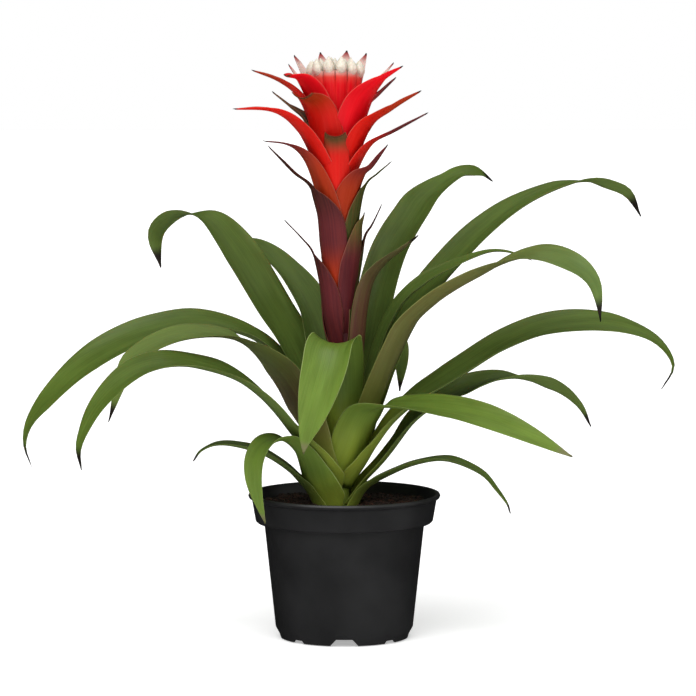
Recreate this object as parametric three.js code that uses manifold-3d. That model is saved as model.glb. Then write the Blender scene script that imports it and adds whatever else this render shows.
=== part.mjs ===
// A young 'el cope' guzmania in flower, in the black growers' pot that it was raised in.
// Millimetres, +Z up. The origin is the middle of the pot's underside, on the pad that it stands on.
import * as THREE from "three";
import { mergeVertices } from "three/addons/utils/BufferGeometryUtils.js";
import Module from "manifold-3d";

const wasm = await Module();
wasm.setup();

// Pot: a 12 cm growers' pot, thin-walled, with a deep band at the rim and a notched foot ring.
const potHeight = 90;
const rimRadius = 60;
const lipHeight = 2.4;
const bandTopRadius = 57.7;
const bandFootRadius = 55.4;
const bandFoot = 73.2;
const bodyTopRadius = 50;
const bodyFootRadius = 43;
const bodyFoot = 6.6;
const footRadius = 40.3;
const potWall = 1.3;
const floorUnder = 4.5;
const padRadius = 14;
const potSides = 32;
const wideNotch = { count: 4, firstAngle: -90, width: 17, height: 4.2, top: 10 };
const smallNotch = { count: 4, firstAngle: -45, width: 9, height: 1.8, top: 7 };
const drainHole = { count: 6, radius: 3, ring: 28 };

// Soil: peat, filled to just under the rim, with one plain hole for the stem.
const soilTop = 83.5;
const soilGap = 0.3;
const soilCrumb = 0.7;
const soilSides = 28;
const stemHoleRadius = 11;
const stemHoleMouth = 15.6;
const stemHoleFoot = 42.5;
const mouthDepth = 10;

// Stem: a stubby caudex that carries the leaves, then the flower stalk.
const stemFoot = 43;
const stalkEnd = 272;
const stemProfile = [
  [43, 7.4],
  [45, 8.9],
  [78, 8.9],
  [90, 7.9],
  [106, 6.4],
  [120, 5.2],
  [126, 4.8],
  [134, 5.6],
  [144, 6.8],
  [188, 7],
  [stalkEnd, 8.6],
];
const stemSides = 12;

// The plant's foot stands a little left of the pot's middle: in full up to the first of the radii and of the
// heights, and not at all past the second. The spike leans to the left.
const plantShift = -5;
const shiftFades = [16, 36];
const shiftHeights = [92, 145];
const leanFrom = 108;
const spikeLean = 0.023;

// Leaves: a strap-shaped blade on a sheath that clasps the stem.
const leafThickness = 0.8;
const leafRings = 12;
const leafStrips = 4;
const sheathCup = 66;
const tipCup = 12;
const tipStart = 0.55;
const lowestSheath = 74;
const sheathStep = 3.8;
const sheathClearance = 0.6;
// A sheath has its own width up to the first of the radii, and the blade's past the second.
const sheathFades = [16, 40];
// The least rise of a blade that is still laid round the stem.
const shallowest = 0.4;

const leafGreen = 0x51682c;
const leafBright = 0x7a9a46;
const leafOlive = 0x4a4a2c;

// Each leaf from the lowest sheath to the highest. heading is the way it points, in degrees from +X,
// path is [distance out, height, distance aside], half the half width, sheath that of the sheath where it is
// broader, roll [share of length, degrees].
const leaves = [
  {
    heading: 348, half: 8.5, sheath: 12, cup: 38, colour: leafGreen,
    path: [[18, 91.5], [29, 101.5], [42, 108], [59, 112], [72, 110.5], [87, 104], [96, 95], [103, 86],
      [105, 80]],
    roll: [[0, 0], [1, 0]],
  },
  {
    heading: 190, half: 10, sheath: 14, cup: 38, colour: leafGreen,
    path: [[18.6, 91], [29, 99.5], [41, 109], [53, 116], [69, 121], [81, 122], [90, 118.5], [95, 112]],
    roll: [[0, 0], [0.5, -6], [1, 0]],
  },
  {
    heading: 88, half: 11, cup: 34, colour: leafGreen,
    path: [[17.5, 93], [32, 108], [53, 121], [77, 127], [99, 121], [115, 105], [122, 87]],
    roll: [[0, 0], [1, 0]],
  },
  {
    heading: 222, half: 11, sheath: 19, cup: 42, colour: leafBright,
    path: [[18.8, 94], [29, 108], [38, 119.5], [50, 127], [63, 126], [71, 118], [73, 107], [71, 93],
      [65, 77]],
    roll: [[0, 0], [1, 0]],
  },
  {
    heading: 5, half: 12.5, cup: 36, colour: leafGreen,
    path: [[17, 96], [24, 106], [33, 120], [44, 135], [58, 146], [85, 158], [107, 161], [132, 155],
      [147, 144], [155, 130]],
    roll: [[0, 0], [0.25, 0], [0.52, 24], [0.66, 4], [0.8, -32], [1, -28]],
  },
  {
    heading: 98, half: 14, cup: 34, colour: leafGreen,
    path: [[17.5, 100], [31, 122], [51, 141], [78, 151], [106, 147], [130, 128], [143, 102]],
    roll: [[0, 0], [1, 0]],
  },
  {
    heading: 219, half: 15, sheath: 20, cup: 36, colour: leafGreen,
    path: [[16.5, 101], [28, 116], [44, 133], [64, 153], [85, 167], [107, 175], [133, 180], [156, 178],
      [174, 170], [189, 158], [198, 146], [203, 134], [201, 121]],
    roll: [[0, 0], [0.12, -6], [0.25, -20], [0.45, -20], [0.7, -12], [1, 0]],
  },
  {
    heading: 66, half: 11.5, cup: 34, colour: leafGreen,
    path: [[18, 106], [30, 132], [46, 160], [63, 176], [80, 177], [89, 164], [87, 145]],
    roll: [[0, 0], [1, 0]],
  },
  {
    heading: 350, half: 16, sheath: 18, cup: 36, colour: leafGreen,
    path: [[17, 108], [22, 120], [31, 135], [46, 149], [61, 159], [78, 170], [100, 184], [124, 194],
      [148, 198], [172, 197], [194, 189], [205, 174], [198, 159]],
    roll: [[0, 0], [0.35, 22], [0.75, 24], [1, 0]],
  },
  {
    heading: 209, half: 14.5, sheath: 16, cup: 32, colour: leafOlive,
    path: [[15, 109], [25, 132], [39, 158], [55, 176], [77, 190], [101, 194], [122, 192], [139, 186],
      [149, 179], [155, 166], [163, 144]],
    roll: [[0, 0], [0.12, 0], [0.24, 22], [0.36, 20], [0.5, -8], [0.64, -14], [0.8, -12], [1, -20]],
  },
  {
    heading: 303, half: 16, sheath: 18, cup: 36, colour: leafBright,
    path: [[14, 112], [17.5, 123], [22, 135], [30, 144], [43, 148, 1], [65, 150, 4], [88, 150, 10],
      [115, 147, 22], [139, 139, 38], [162, 126, 58]],
    roll: [[0, 0], [0.3, 4], [0.6, 16], [1, 10]],
  },
  {
    heading: 90, half: 13, cup: 34, colour: leafGreen,
    path: [[14.2, 114], [23, 138], [33, 162], [44, 182], [62, 195], [86, 198], [112, 189], [136, 168],
      [152, 141]],
    roll: [[0, 0], [1, 0]],
  },
  {
    heading: 30, half: 16, cup: 34, colour: leafGreen,
    path: [[13, 116], [21.3, 139], [31.5, 166], [45, 192], [64, 216], [85, 236], [106, 252], [132, 267],
      [161, 277], [182, 279], [196, 276], [211, 270], [221, 255]],
    roll: [[0, 0], [0.5, 6], [0.78, 0], [0.86, -12], [0.93, -36], [1, -50]],
  },
  {
    heading: 177, half: 17, cup: 32, colour: leafGreen,
    path: [[13.2, 117], [20.8, 137], [32, 161], [50, 182], [71, 192], [95, 195], [121, 189], [139, 182],
      [156, 173], [171, 162], [186, 147], [197, 132], [200, 118], [196, 105]],
    roll: [[0, 0], [0.35, -2], [0.5, -20], [0.7, -34], [0.85, -36], [1, -10]],
  },
  {
    heading: 330, half: 15, cup: 34, colour: leafOlive,
    path: [[12, 119], [19.3, 140], [27.5, 160], [39, 183], [48, 198], [64, 212], [78, 221], [93, 229],
      [111, 238], [130, 244], [146, 244], [162, 239], [172, 231], [176, 221], [178, 206]],
    roll: [[0, 0], [0.6, 0], [0.72, 14], [0.85, 38], [1, 30]],
  },
  {
    heading: 148, half: 18.5, cup: 34, colour: leafGreen,
    path: [[12.7, 120], [19.8, 140], [30, 164], [41.5, 184], [54, 200], [69, 221], [85, 242], [103, 258],
      [124, 259], [138, 251.5], [142, 242], [138, 225]],
    roll: [[0, 0], [0.2, 0], [0.4, -8], [0.6, -10], [0.76, 0], [0.86, 14], [0.94, 32], [1, 35]],
  },
  {
    heading: 57, half: 15, cup: 36, colour: leafGreen,
    path: [[12.4, 125], [18, 144], [25, 166], [34.5, 196], [43.5, 218], [54, 235], [65, 246], [80, 258],
      [93, 268], [113, 276], [131, 281], [147, 283], [162, 282], [178, 275]],
    roll: [[0, 0], [0.82, 0], [0.92, 50], [1, 60]],
  },
  {
    heading: 120, half: 16, cup: 34, colour: leafGreen,
    path: [[11.3, 126], [16.2, 146], [25.5, 177], [39.8, 199, 0.5], [60, 217, 1.4], [83, 229, 2],
      [101, 237, 3], [118, 241, 3], [131, 240, 2], [139, 233]],
    roll: [[0, 0], [0.32, 0], [0.44, 15], [0.6, 12], [1, 0]],
  },
  {
    heading: 10, half: 11, cup: 36, colour: leafGreen,
    path: [[10.1, 128], [14, 145], [22.2, 178], [34, 205], [51, 221], [67, 230], [83, 237], [94, 240],
      [106, 239], [119, 234]],
    roll: [[0, 0], [0.6, 6], [1, 0]],
  },
  {
    heading: 262, half: 16, cup: 44, colour: leafBright,
    path: [[9.12, 129], [12.7, 147], [17.9, 168], [25.5, 182], [34, 187], [41, 184, -3], [46, 174, -5],
      [49, 159, -9], [50, 144, -13], [49, 130, -17], [48, 120, -18.5]],
    roll: [[0, 0], [1, 0]],
  },
  {
    heading: 320, half: 8.5, cup: 50, colour: leafOlive,
    path: [[7.1, 132], [9.3, 148], [11.7, 168], [13.6, 188], [16, 206], [21, 223], [31, 235], [46, 245],
      [59, 254]],
    roll: [[0, 0], [1, 0]],
  },
];

// Bracts of the stalk and head: [heading, foot, bend height, tip distance out, tip height, half width,
// flatness, shoulder, tail]. A bract clasps the spike up to its bend. Flatness is the share of the height
// from bend to tip that it has reached when it is half of the way out, shoulder the share of its length at
// which it has narrowed to its tail, and tail how broad the tail is.
const bractThickness = 0.8;
const bractRings = 5;
const bractStrips = 3;
const bractCup = 76;
const bractTipCup = 52;
// How a bract clasps the spike: its room, how it flares as it rises, and how far each later bract that has
// started beneath it pushes it out.
const stalkClasp = { room: 0.8, flare: 0.01, layer: 0.95 };
const headClasp = { room: 0.4, flare: 0.15, layer: 0 };

const stalkBracts = [
  [135, 172, 211, 16, 238, 11, 0.75, 0.9, 0.4],
  [203, 177, 222, 36.5, 262, 15, 0.71, 0.68, 0.22],
  [18, 181, 238, 28.5, 270, 14, 0.6, 0.72, 0.3],
  [338, 187, 250, 17.5, 266, 17, 0.67, 0.97, 0.3],
  [75, 192, 235, 20, 264, 12, 0.7, 0.9, 0.4],
  [222, 213, 266, 56.5, 309, 18, 0.6, 0.6, 0.3],
  [345, 216, 274, 35, 298, 13, 0.66, 0.76, 0.45],
  [205, 223, 282, 50, 311, 15.5, 0.9, 0.86, 0.5],
  [325, 231, 278, 38.5, 309, 16, 0.55, 0.78, 0.7],
];

const headBracts = [
  [268, 273.5, 303, 25, 314, 9, 0.8, 1.6, 0.3],
  [349, 277, 294, 58, 328, 13, 0.65, 0.65, 0.8],
  [204, 277, 294, 69, 331, 14, 0.94, 0.75, 1],
  [110, 279, 300, 34, 328, 13, 0.75, 0.8, 0.6],
  [238, 281, 318, 40, 338, 14, 0.85, 1.3, 0.6],
  [333, 284, 303, 59, 342, 14, 0.68, 0.75, 1],
  [50, 284, 304, 32, 334, 11, 0.75, 0.8, 0.6],
  [165, 286, 309, 41, 340, 12, 0.67, 0.8, 0.6],
  [312, 288, 316, 62, 358, 14, 0.74, 0.8, 0.9],
  [7, 291, 317, 38, 349, 13, 0.67, 0.8, 0.9],
  [186, 292, 316, 52, 354, 14, 0.8, 0.8, 1],
  [70, 292, 320, 32, 352, 11, 0.75, 0.8, 0.6],
  [222, 295, 322, 41, 351, 14, 0.9, 1.05, 0.7],
];

// The inner bracts stand round the buds. The hooded ones are upright and end in a round tip like a pearl.
// The pointed ones lean out: [heading, tip distance out, tip height, half width].
const hoods = { count: 12, first: 15, ring: 15.6, foot: 316, top: 350, half: 5.2, cup: 52, wall: 1.4 };
const pearl = { radius: 3.5, height: 12, foot: 346, ring: 15, sides: 6, steps: 4 };
const hoodRings = 2;
const pointedBracts = [
  [187, 29, 357.5, 6],
  [160, 27, 362.5, 6.5],
  [117, 20, 364, 6.5],
  [70, 22, 365, 7],
  [38, 25, 363.5, 6.5],
  [356, 36.5, 358.5, 6],
];

const headFoot = stalkEnd + 0.35;
const headCore = [
  [headFoot, 10.2],
  [322, 11.5],
];
const bud = { height: 14.5, radius: 3.3, foot: 347, sides: 6, steps: 4 };
const budRings = [[0, 1], [7, 7]];

const bractRed = 0xd8262a;
const bractMaroon = 0x5e2f33;
const budWhite = 0xefe9da;

const radians = THREE.MathUtils.degToRad;
const smooth = THREE.MathUtils.smoothstep;
const mix = THREE.MathUtils.lerp;

// The value at a place in a list of [place, value] pairs, straight between them.
function along(pairs, place) {
  const next = pairs.findIndex(([at]) => at >= place);
  if (next < 0) return pairs.at(-1)[1];
  if (next === 0) return pairs[0][1];
  const [from, low] = pairs[next - 1];
  const [to, high] = pairs[next];
  return mix(low, high, (place - from) / (to - from));
}

// A closed geometry as a solid for joining and cutting, and back.
function toSolid(geometry) {
  const bare = geometry.index ? geometry.toNonIndexed() : geometry.clone();
  bare.deleteAttribute("normal");
  bare.deleteAttribute("uv");
  const merged = mergeVertices(bare, 1e-3);
  return new wasm.Manifold(
    new wasm.Mesh({
      numProp: 3,
      vertProperties: merged.attributes.position.array,
      triVerts: new Uint32Array(merged.index.array),
    }),
  );
}

function toGeometry(solid) {
  const { vertProperties, triVerts } = solid.getMesh();
  const geometry = new THREE.BufferGeometry();
  geometry.setAttribute("position", new THREE.BufferAttribute(vertProperties, 3));
  geometry.setIndex(new THREE.BufferAttribute(triVerts, 1));
  return geometry;
}

// Joins the solids and keeps the outer skin of the largest body, so that sealed hollows are filled.
function joined(geometries) {
  const bodies = wasm.Manifold.union(geometries.map(toSolid)).decompose();
  return bodies.reduce((best, body) => (body.volume() > best.volume() ? body : best));
}

// A solid of revolution from [radius, height] points that start and end on the axis.
function turned(profile, sides) {
  const points = profile.map(([radius, height]) => new THREE.Vector2(radius, height));
  return new THREE.LatheGeometry(points, sides).rotateX(Math.PI / 2);
}

// The plane that a leaf stands in: out along its heading, aside to the left of it, and up.
function spineOf(heading, path) {
  const out = new THREE.Vector3(Math.cos(radians(heading)), Math.sin(radians(heading)), 0);
  const aside = new THREE.Vector3(-out.y, out.x, 0);
  const points = path.map(([reach, height, drift = 0]) =>
    new THREE.Vector3(0, 0, height).addScaledVector(out, reach).addScaledVector(aside, drift));
  return { aside, curve: new THREE.CatmullRomCurve3(points, false, "catmullrom") };
}

// A closed blade along a spine. Its section is an arc of half angle cup and half width half, hollow side
// up, turned about the spine by roll. Each of them is worked out from the share of the length, and cup and
// half also from the radius at which the blade would lie flat on a cone about the stem.
function bladeGeometry({ heading, path, half, cup, roll, thickness, rings, strips }) {
  const { aside, curve } = spineOf(heading, path);
  const upper = [];
  const lower = [];
  for (let ring = 0; ring <= rings; ring += 1) {
    const share = ring / rings;
    const centre = curve.getPointAt(share);
    const tangent = curve.getTangentAt(share);
    const level = aside.clone().addScaledVector(tangent, -aside.dot(tangent)).normalize();
    const rise = tangent.clone().cross(level);
    const turn = radians(roll(share));
    const side = level.clone().multiplyScalar(Math.cos(turn)).addScaledVector(rise, Math.sin(turn));
    const up = tangent.clone().cross(side);
    const out = Math.hypot(centre.x, centre.y);
    const cone = out / Math.max(tangent.z, shallowest);
    const angle = cup(share, cone, out);
    const radius = half(share, cone, out) / angle;
    for (let strip = 0; strip <= strips; strip += 1) {
      const across = (2 * strip) / strips - 1;
      const bend = across * angle;
      const halfThick = (thickness / 2) * (1 - 0.25 * across * across);
      for (const [row, sign] of [[upper, 1], [lower, -1]]) {
        const reach = radius - sign * halfThick;
        row.push(centre.clone()
          .addScaledVector(side, reach * Math.sin(bend))
          .addScaledVector(up, radius - reach * Math.cos(bend)));
      }
    }
  }
  return closedSheet(upper, lower, rings, strips);
}

// Joins two sheets of points, alike in their triangles, along their edges.
function closedSheet(upper, lower, rings, strips) {
  const row = strips + 1;
  const under = upper.length;
  const faces = [];
  const quad = (a, b, c, d) => faces.push(a, b, c, a, c, d);
  for (let ring = 0; ring < rings; ring += 1) {
    const here = ring * row;
    const next = here + row;
    for (let strip = 0; strip < strips; strip += 1) {
      quad(here + strip, next + strip, next + strip + 1, here + strip + 1);
      faces.push(under + here + strip, under + next + strip + 1, under + next + strip);
      faces.push(under + here + strip, under + here + strip + 1, under + next + strip + 1);
    }
    quad(here, under + here, under + next, next);
    quad(here + strips, next + strips, under + next + strips, under + here + strips);
  }
  const end = rings * row;
  for (let strip = 0; strip < strips; strip += 1) {
    quad(strip, strip + 1, under + strip + 1, under + strip);
    quad(end + strip, under + end + strip, under + end + strip + 1, end + strip + 1);
  }
  const geometry = new THREE.BufferGeometry().setFromPoints([...upper, ...lower]);
  geometry.setIndex(faces);
  return geometry;
}

function stemRadius(height) {
  return along(stemProfile, height);
}

function turnBetween(one, other) {
  return Math.abs(((one - other + 540) % 360) - 180);
}

// Each sheath starts a step above every lower sheath that it overlaps.
function sheathFeet() {
  const feet = [];
  for (const { heading } of leaves) {
    const under = feet.filter((foot, i) => turnBetween(heading, leaves[i].heading) < 2 * sheathCup);
    feet.push(under.length ? Math.max(...under) + sheathStep : lowestSheath);
  }
  return feet;
}

// A leaf: while it is close to the stem it lies on a cone about it, so that the sheaths nest. Further out it
// keeps its own hollow and width, then runs to a flat point.
function leafGeometry(leaf, foot) {
  const start = stemRadius(foot) + sheathClearance + leafThickness / 2;
  const broad = (out) => mix(leaf.sheath ?? leaf.half, leaf.half, smooth(out, ...sheathFades));
  const cup = (share, cone, out) => mix(
    Math.max(Math.min(broad(out) / cone, radians(sheathCup)), radians(leaf.cup)),
    radians(tipCup),
    smooth(share, tipStart, 1),
  );
  const half = (share, cone, out) => {
    const taper = 1 - Math.max(0, (share - tipStart) / (1 - tipStart)) ** 1.8;
    return Math.max(Math.min(cup(share, cone, out) * cone, broad(out)) * taper, 0.4);
  };
  return bladeGeometry({
    heading: leaf.heading,
    path: [[start, foot], ...leaf.path],
    half,
    cup,
    roll: (share) => along(leaf.roll, share),
    thickness: leafThickness,
    rings: leafRings,
    strips: leafStrips,
  });
}

// A bract: its foot is sunk in the core, it clasps what it grew round, then bends out to a narrow tip.
function bractGeometry(bract, bracts, core, { room, flare, layer }) {
  const [heading, foot, bend, tipOut, tipHeight, half, flatness, shoulder, tail] = bract;
  const later = bracts.map(([, start]) => start).filter((start) => start > foot);
  const beneath = (height) => later.reduce((sum, start) => sum + smooth(height, start, start + 12), 0);
  const clasp = (height) =>
    along(core, height) + room + flare * (height - foot) + layer * beneath(height);
  const reach = tipOut - clasp(bend);
  const path = [
    [along(core, foot) - 0.9, foot],
    [clasp(mix(foot, bend, 0.25)), mix(foot, bend, 0.25)],
    [clasp(mix(foot, bend, 0.6)), mix(foot, bend, 0.6)],
    [clasp(bend), bend],
    [clasp(bend) + 0.2 * reach, mix(bend, tipHeight, 0.65 * flatness)],
    [clasp(bend) + 0.52 * reach, mix(bend, tipHeight, flatness)],
    [tipOut, tipHeight],
  ];
  const width = (share, cone) => {
    const body = 1 - Math.min(Math.max((share - 0.15) / (shoulder - 0.15), 0), 1) ** 3;
    const broad = Math.min(half, cone * radians(bractCup));
    return Math.max(broad * (body + tail * (1 - share) ** 0.7 * (1 - body)), 0.5);
  };
  const cup = (share, cone) =>
    mix(Math.min(half / cone, radians(bractCup)), radians(bractTipCup), smooth(share, 0.4, 0.9));
  return bladeGeometry({
    heading,
    path,
    half: width,
    cup,
    roll: () => 0,
    thickness: bractThickness,
    rings: bractRings,
    strips: bractStrips,
  });
}

// The head leans back a little, so that its front stands higher.
function headLift(heading) {
  return 2 - 2.5 * Math.sin(radians(heading));
}

// A hooded inner bract: an upright scoop round its pearl.
function hoodGeometry(heading) {
  const { ring, foot, half, cup, wall } = hoods;
  const top = hoods.top + headLift(heading);
  const tall = top - foot;
  return bladeGeometry({
    heading,
    path: [
      [ring - 7, foot],
      [ring - 2.4, foot + 0.4 * tall],
      [ring, foot + 0.8 * tall],
      [ring + 0.4, top],
    ],
    half: (share) => half * (1 - 0.2 * smooth(share, 0.4, 1)),
    cup: () => radians(cup),
    roll: () => 0,
    thickness: wall,
    rings: hoodRings,
    strips: bractStrips,
  });
}

// An egg shape that stands on the origin, its top the narrower end.
function eggGeometry({ height, radius, sides, steps }) {
  const profile = Array.from({ length: steps + 1 }, (_, i) => {
    const share = i / steps;
    return [radius * Math.sin(Math.PI * share ** 0.9), height * share];
  });
  profile[0][0] = 0;
  profile[steps][0] = 0;
  return turned(profile, sides);
}

function pearlGeometry(heading, index) {
  const [x, y] = [pearl.ring * Math.cos(radians(heading)), pearl.ring * Math.sin(radians(heading))];
  const lift = headLift(heading) + 0.8 * Math.sin(5 * index);
  return eggGeometry(pearl).rotateZ(radians(heading + 11)).translate(x, y, pearl.foot + lift);
}

// A pointed inner bract, leaning out.
function pointedGeometry([heading, tipOut, tipHeight, half]) {
  const foot = headCore.at(-1)[0] - 6;
  const tall = tipHeight - foot;
  return bladeGeometry({
    heading,
    path: [
      [10, foot],
      [mix(10, tipOut, 0.35), foot + 0.4 * tall],
      [mix(10, tipOut, 0.7), foot + 0.75 * tall],
      [tipOut, tipHeight],
    ],
    half: (share) => Math.max(half * (1 - Math.max(0, (share - 0.6) / 0.4) ** 2.4), 0.5),
    cup: () => radians(48),
    roll: () => 0,
    thickness: 1,
    rings: 3,
    strips: bractStrips,
  });
}

function potOutside() {
  return [
    [0, 0],
    [padRadius, 0],
    [padRadius + 1.2, floorUnder],
    [footRadius - potWall - 0.8, floorUnder],
    [footRadius - potWall, 0],
    [footRadius, 0],
    [footRadius + 0.6, 2.6],
    [bodyFootRadius, bodyFoot],
    [bodyTopRadius, bandFoot - 1.6],
    [bandFootRadius - 0.9, bandFoot - 0.9],
    [bandFootRadius, bandFoot],
    [bandTopRadius, potHeight - lipHeight - 1.2],
    [rimRadius - 0.5, potHeight - lipHeight],
    [rimRadius, potHeight - lipHeight / 2],
    [rimRadius - 0.6, potHeight],
  ];
}

function potInside() {
  return [
    [bandTopRadius - 0.4, potHeight],
    [bandTopRadius - potWall, potHeight - lipHeight],
    [bandFootRadius - potWall - 0.2, bandFoot + 0.6],
    [bodyTopRadius - potWall, bandFoot - 0.6],
    [bodyFootRadius - potWall, bodyFoot + 1],
    [footRadius - potWall - 0.4, floorUnder + potWall],
    [0, floorUnder + potWall],
  ];
}

// A notch across the foot ring: a tapered block that is cut away.
function notchSolid({ width, height, top }) {
  const shape = new THREE.Shape([
    new THREE.Vector2(-width / 2, -1),
    new THREE.Vector2(width / 2, -1),
    new THREE.Vector2(width / 2, 0.2),
    new THREE.Vector2(top / 2, height),
    new THREE.Vector2(-top / 2, height),
    new THREE.Vector2(-width / 2, 0.2),
  ]);
  const length = 10;
  const block = new THREE.ExtrudeGeometry(shape, { depth: length, bevelEnabled: false });
  block.rotateX(Math.PI / 2).translate(0, footRadius + length / 2, 0);
  return block;
}

function potGeometry() {
  let pot = toSolid(turned([...potOutside(), ...potInside()], potSides));
  for (const notch of [wideNotch, smallNotch]) {
    for (let i = 0; i < notch.count; i += 1) {
      const angle = radians(notch.firstAngle + (i * 360) / notch.count - 90);
      pot = pot.subtract(toSolid(notchSolid(notch).rotateZ(angle)));
    }
  }
  for (let i = 0; i < drainHole.count; i += 1) {
    const angle = radians((i + 0.5) * (360 / drainHole.count));
    const [x, y] = [drainHole.ring * Math.cos(angle), drainHole.ring * Math.sin(angle)];
    const hole = new THREE.CylinderGeometry(drainHole.radius, drainHole.radius, 6, 10);
    hole.rotateX(Math.PI / 2).translate(x, y, floorUnder + potWall / 2);
    pot = pot.subtract(toSolid(hole));
  }
  return toGeometry(pot);
}

// The top of the soil: low crumbs by formula, level with the plain rings at the wall and at the stem.
function soilHeight(x, y) {
  const rows = Math.sin(0.31 * x + 1.7 * Math.sin(0.23 * y));
  const columns = Math.sin(0.37 * y - 1.3 * Math.sin(0.19 * x));
  return soilTop + soilCrumb * (rows + columns);
}

function soilGeometry() {
  const wallIn = potWall + soilGap + 0.2;
  const topRings = [52, 42, 32, 22];
  const profile = [
    [0, floorUnder + wallIn],
    [footRadius - wallIn - 0.5, floorUnder + wallIn],
    [bodyFootRadius - wallIn, bodyFoot + 1.3],
    [bodyTopRadius - wallIn, bandFoot],
    [bodyTopRadius - wallIn + 0.3, bandFoot + 0.9],
    [bandFootRadius - wallIn - 0.3, bandFoot + 1.2],
    [bandFootRadius - wallIn + 0.9, soilTop - 1.6],
    ...topRings.map((r) => [r, soilTop]),
    [stemHoleMouth, soilTop - 0.8],
    [stemHoleRadius, soilTop - mouthDepth],
    [stemHoleRadius, stemHoleFoot],
    [0, stemHoleFoot],
  ];
  const geometry = turned(profile, soilSides);
  const position = geometry.attributes.position;
  for (let i = 0; i < position.count; i += 1) {
    if (position.getZ(i) > soilTop - 0.01) {
      position.setZ(i, soilHeight(position.getX(i), position.getY(i)));
    }
  }
  return geometry;
}

// What the stalk's bracts clasp: the stalk, and above it the foot of the head.
const claspedCore = [...stemProfile.slice(0, -1), [258, 8.2], [271, 11.6], [285, 12.7], [300, 14.4]];

function stalkGeometry() {
  const profile = [[0, stemFoot], ...stemProfile.map(([z, r]) => [r, z]), [0, stalkEnd]];
  const bracts = stalkBracts.map((bract) => bractGeometry(bract, stalkBracts, claspedCore, stalkClasp));
  return toGeometry(joined([turned(profile, stemSides), ...bracts]));
}

function headGeometry() {
  const [[foot], [top]] = [headCore[0], headCore.at(-1)];
  const core = turned([[0, foot], ...headCore.map(([z, r]) => [r, z]), [0, top + 2]], stemSides);
  const outer = headBracts.map((bract) => bractGeometry(bract, headBracts, headCore, headClasp));
  const round = Array.from({ length: hoods.count }, (_, i) => hoods.first + (i * 360) / hoods.count);
  const scoops = round.map(hoodGeometry);
  const pearls = round.map(pearlGeometry);
  return toGeometry(joined([core, ...outer, ...scoops, ...pearls, ...pointedBracts.map(pointedGeometry)]));
}

// A white bud, egg-shaped, on the short receptacle that the buds share.
function budGeometry(ring, angle, lift) {
  return eggGeometry(bud)
    .rotateY(0.03 * ring)
    .rotateZ(angle)
    .translate(ring * Math.cos(angle), ring * Math.sin(angle), bud.foot + lift);
}

function budsGeometry() {
  const base = headCore.at(-1)[0] + 2.5;
  const profile = [[0, base], [3, base], [7, bud.foot], [7, bud.foot + 4], [0, bud.foot + 5]];
  const receptacle = turned(profile, stemSides);
  const buds = budRings.flatMap(([ring, count]) =>
    Array.from({ length: count }, (_, i) =>
      budGeometry(ring, (i * 2 * Math.PI) / count, Math.sin(3 * i + ring))));
  return toGeometry(joined([receptacle, ...buds]));
}

// Moves the plant's foot to its place in the pot, and leans the spike to the left.
function settled(geometry, lean = 0) {
  const position = geometry.attributes.position;
  for (let i = 0; i < position.count; i += 1) {
    const [x, y, z] = [position.getX(i), position.getY(i), position.getZ(i)];
    const near = 1 - smooth(Math.hypot(x, y), ...shiftFades);
    const low = 1 - smooth(z, ...shiftHeights);
    position.setX(i, x + plantShift * near * low - lean * Math.max(0, z - leanFrom));
  }
  return geometry;
}

function mesh(name, geometry, colour, roughness = 0.45) {
  const material = new THREE.MeshStandardMaterial({ color: colour, roughness, metalness: 0 });
  const made = new THREE.Mesh(geometry, material);
  made.name = name;
  return made;
}

const guzmania = new THREE.Group();
guzmania.add(mesh("pot", potGeometry(), 0x1e1e1f, 0.5));
guzmania.add(mesh("soil", settled(soilGeometry()), 0x2c1d16, 0.95));
sheathFeet().forEach((foot, index) => {
  const leaf = leaves[index];
  const number = String(index + 1).padStart(2, "0");
  guzmania.add(mesh(`leaf_${number}`, settled(leafGeometry(leaf, foot)), leaf.colour));
});
guzmania.add(mesh("flower_stalk", settled(stalkGeometry(), spikeLean), bractMaroon));
guzmania.add(mesh("flower_head", settled(headGeometry(), spikeLean), bractRed));
guzmania.add(mesh("flower_buds", settled(budsGeometry(), spikeLean), budWhite));

export default guzmania;
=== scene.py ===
import math

import bmesh
import bpy
import numpy as np
from mathutils import Matrix, Vector


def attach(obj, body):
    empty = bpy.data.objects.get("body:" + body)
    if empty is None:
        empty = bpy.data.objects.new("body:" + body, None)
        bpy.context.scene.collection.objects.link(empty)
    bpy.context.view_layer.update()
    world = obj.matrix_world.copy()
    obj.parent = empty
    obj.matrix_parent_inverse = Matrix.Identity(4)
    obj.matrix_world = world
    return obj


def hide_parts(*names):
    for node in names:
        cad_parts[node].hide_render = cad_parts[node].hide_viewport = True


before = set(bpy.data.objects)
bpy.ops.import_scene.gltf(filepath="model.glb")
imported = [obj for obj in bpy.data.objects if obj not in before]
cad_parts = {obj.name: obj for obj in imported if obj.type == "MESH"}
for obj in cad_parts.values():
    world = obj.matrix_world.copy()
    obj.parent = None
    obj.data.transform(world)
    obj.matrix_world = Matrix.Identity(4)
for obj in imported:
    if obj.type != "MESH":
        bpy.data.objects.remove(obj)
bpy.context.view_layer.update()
scene = bpy.context.scene
mm = 0.001


def hexColour(value):
    # sRGB hex to the linear colour that Blender's sockets hold
    channels = [int(value[i:i + 2], 16) / 255 for i in (1, 3, 5)]
    return [c / 12.92 if c <= 0.04045 else ((c + 0.055) / 1.055) ** 2.4 for c in channels] + [1.0]


def fillInputs(tree, node, values):
    # a node or a socket is linked, and anything else is put on the input itself
    for place, source in values.items():
        if isinstance(source, bpy.types.Node):
            source = source.outputs[0]
        if isinstance(source, bpy.types.NodeSocket):
            tree.links.new(source, node.inputs[place])
        else:
            node.inputs[place].default_value = source
    return node


def addNode(tree, kind, settings=None, values=None):
    made = tree.nodes.new(kind)
    for name, value in (settings or {}).items():
        setattr(made, name, value)
    return fillInputs(tree, made, values or {})


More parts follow.
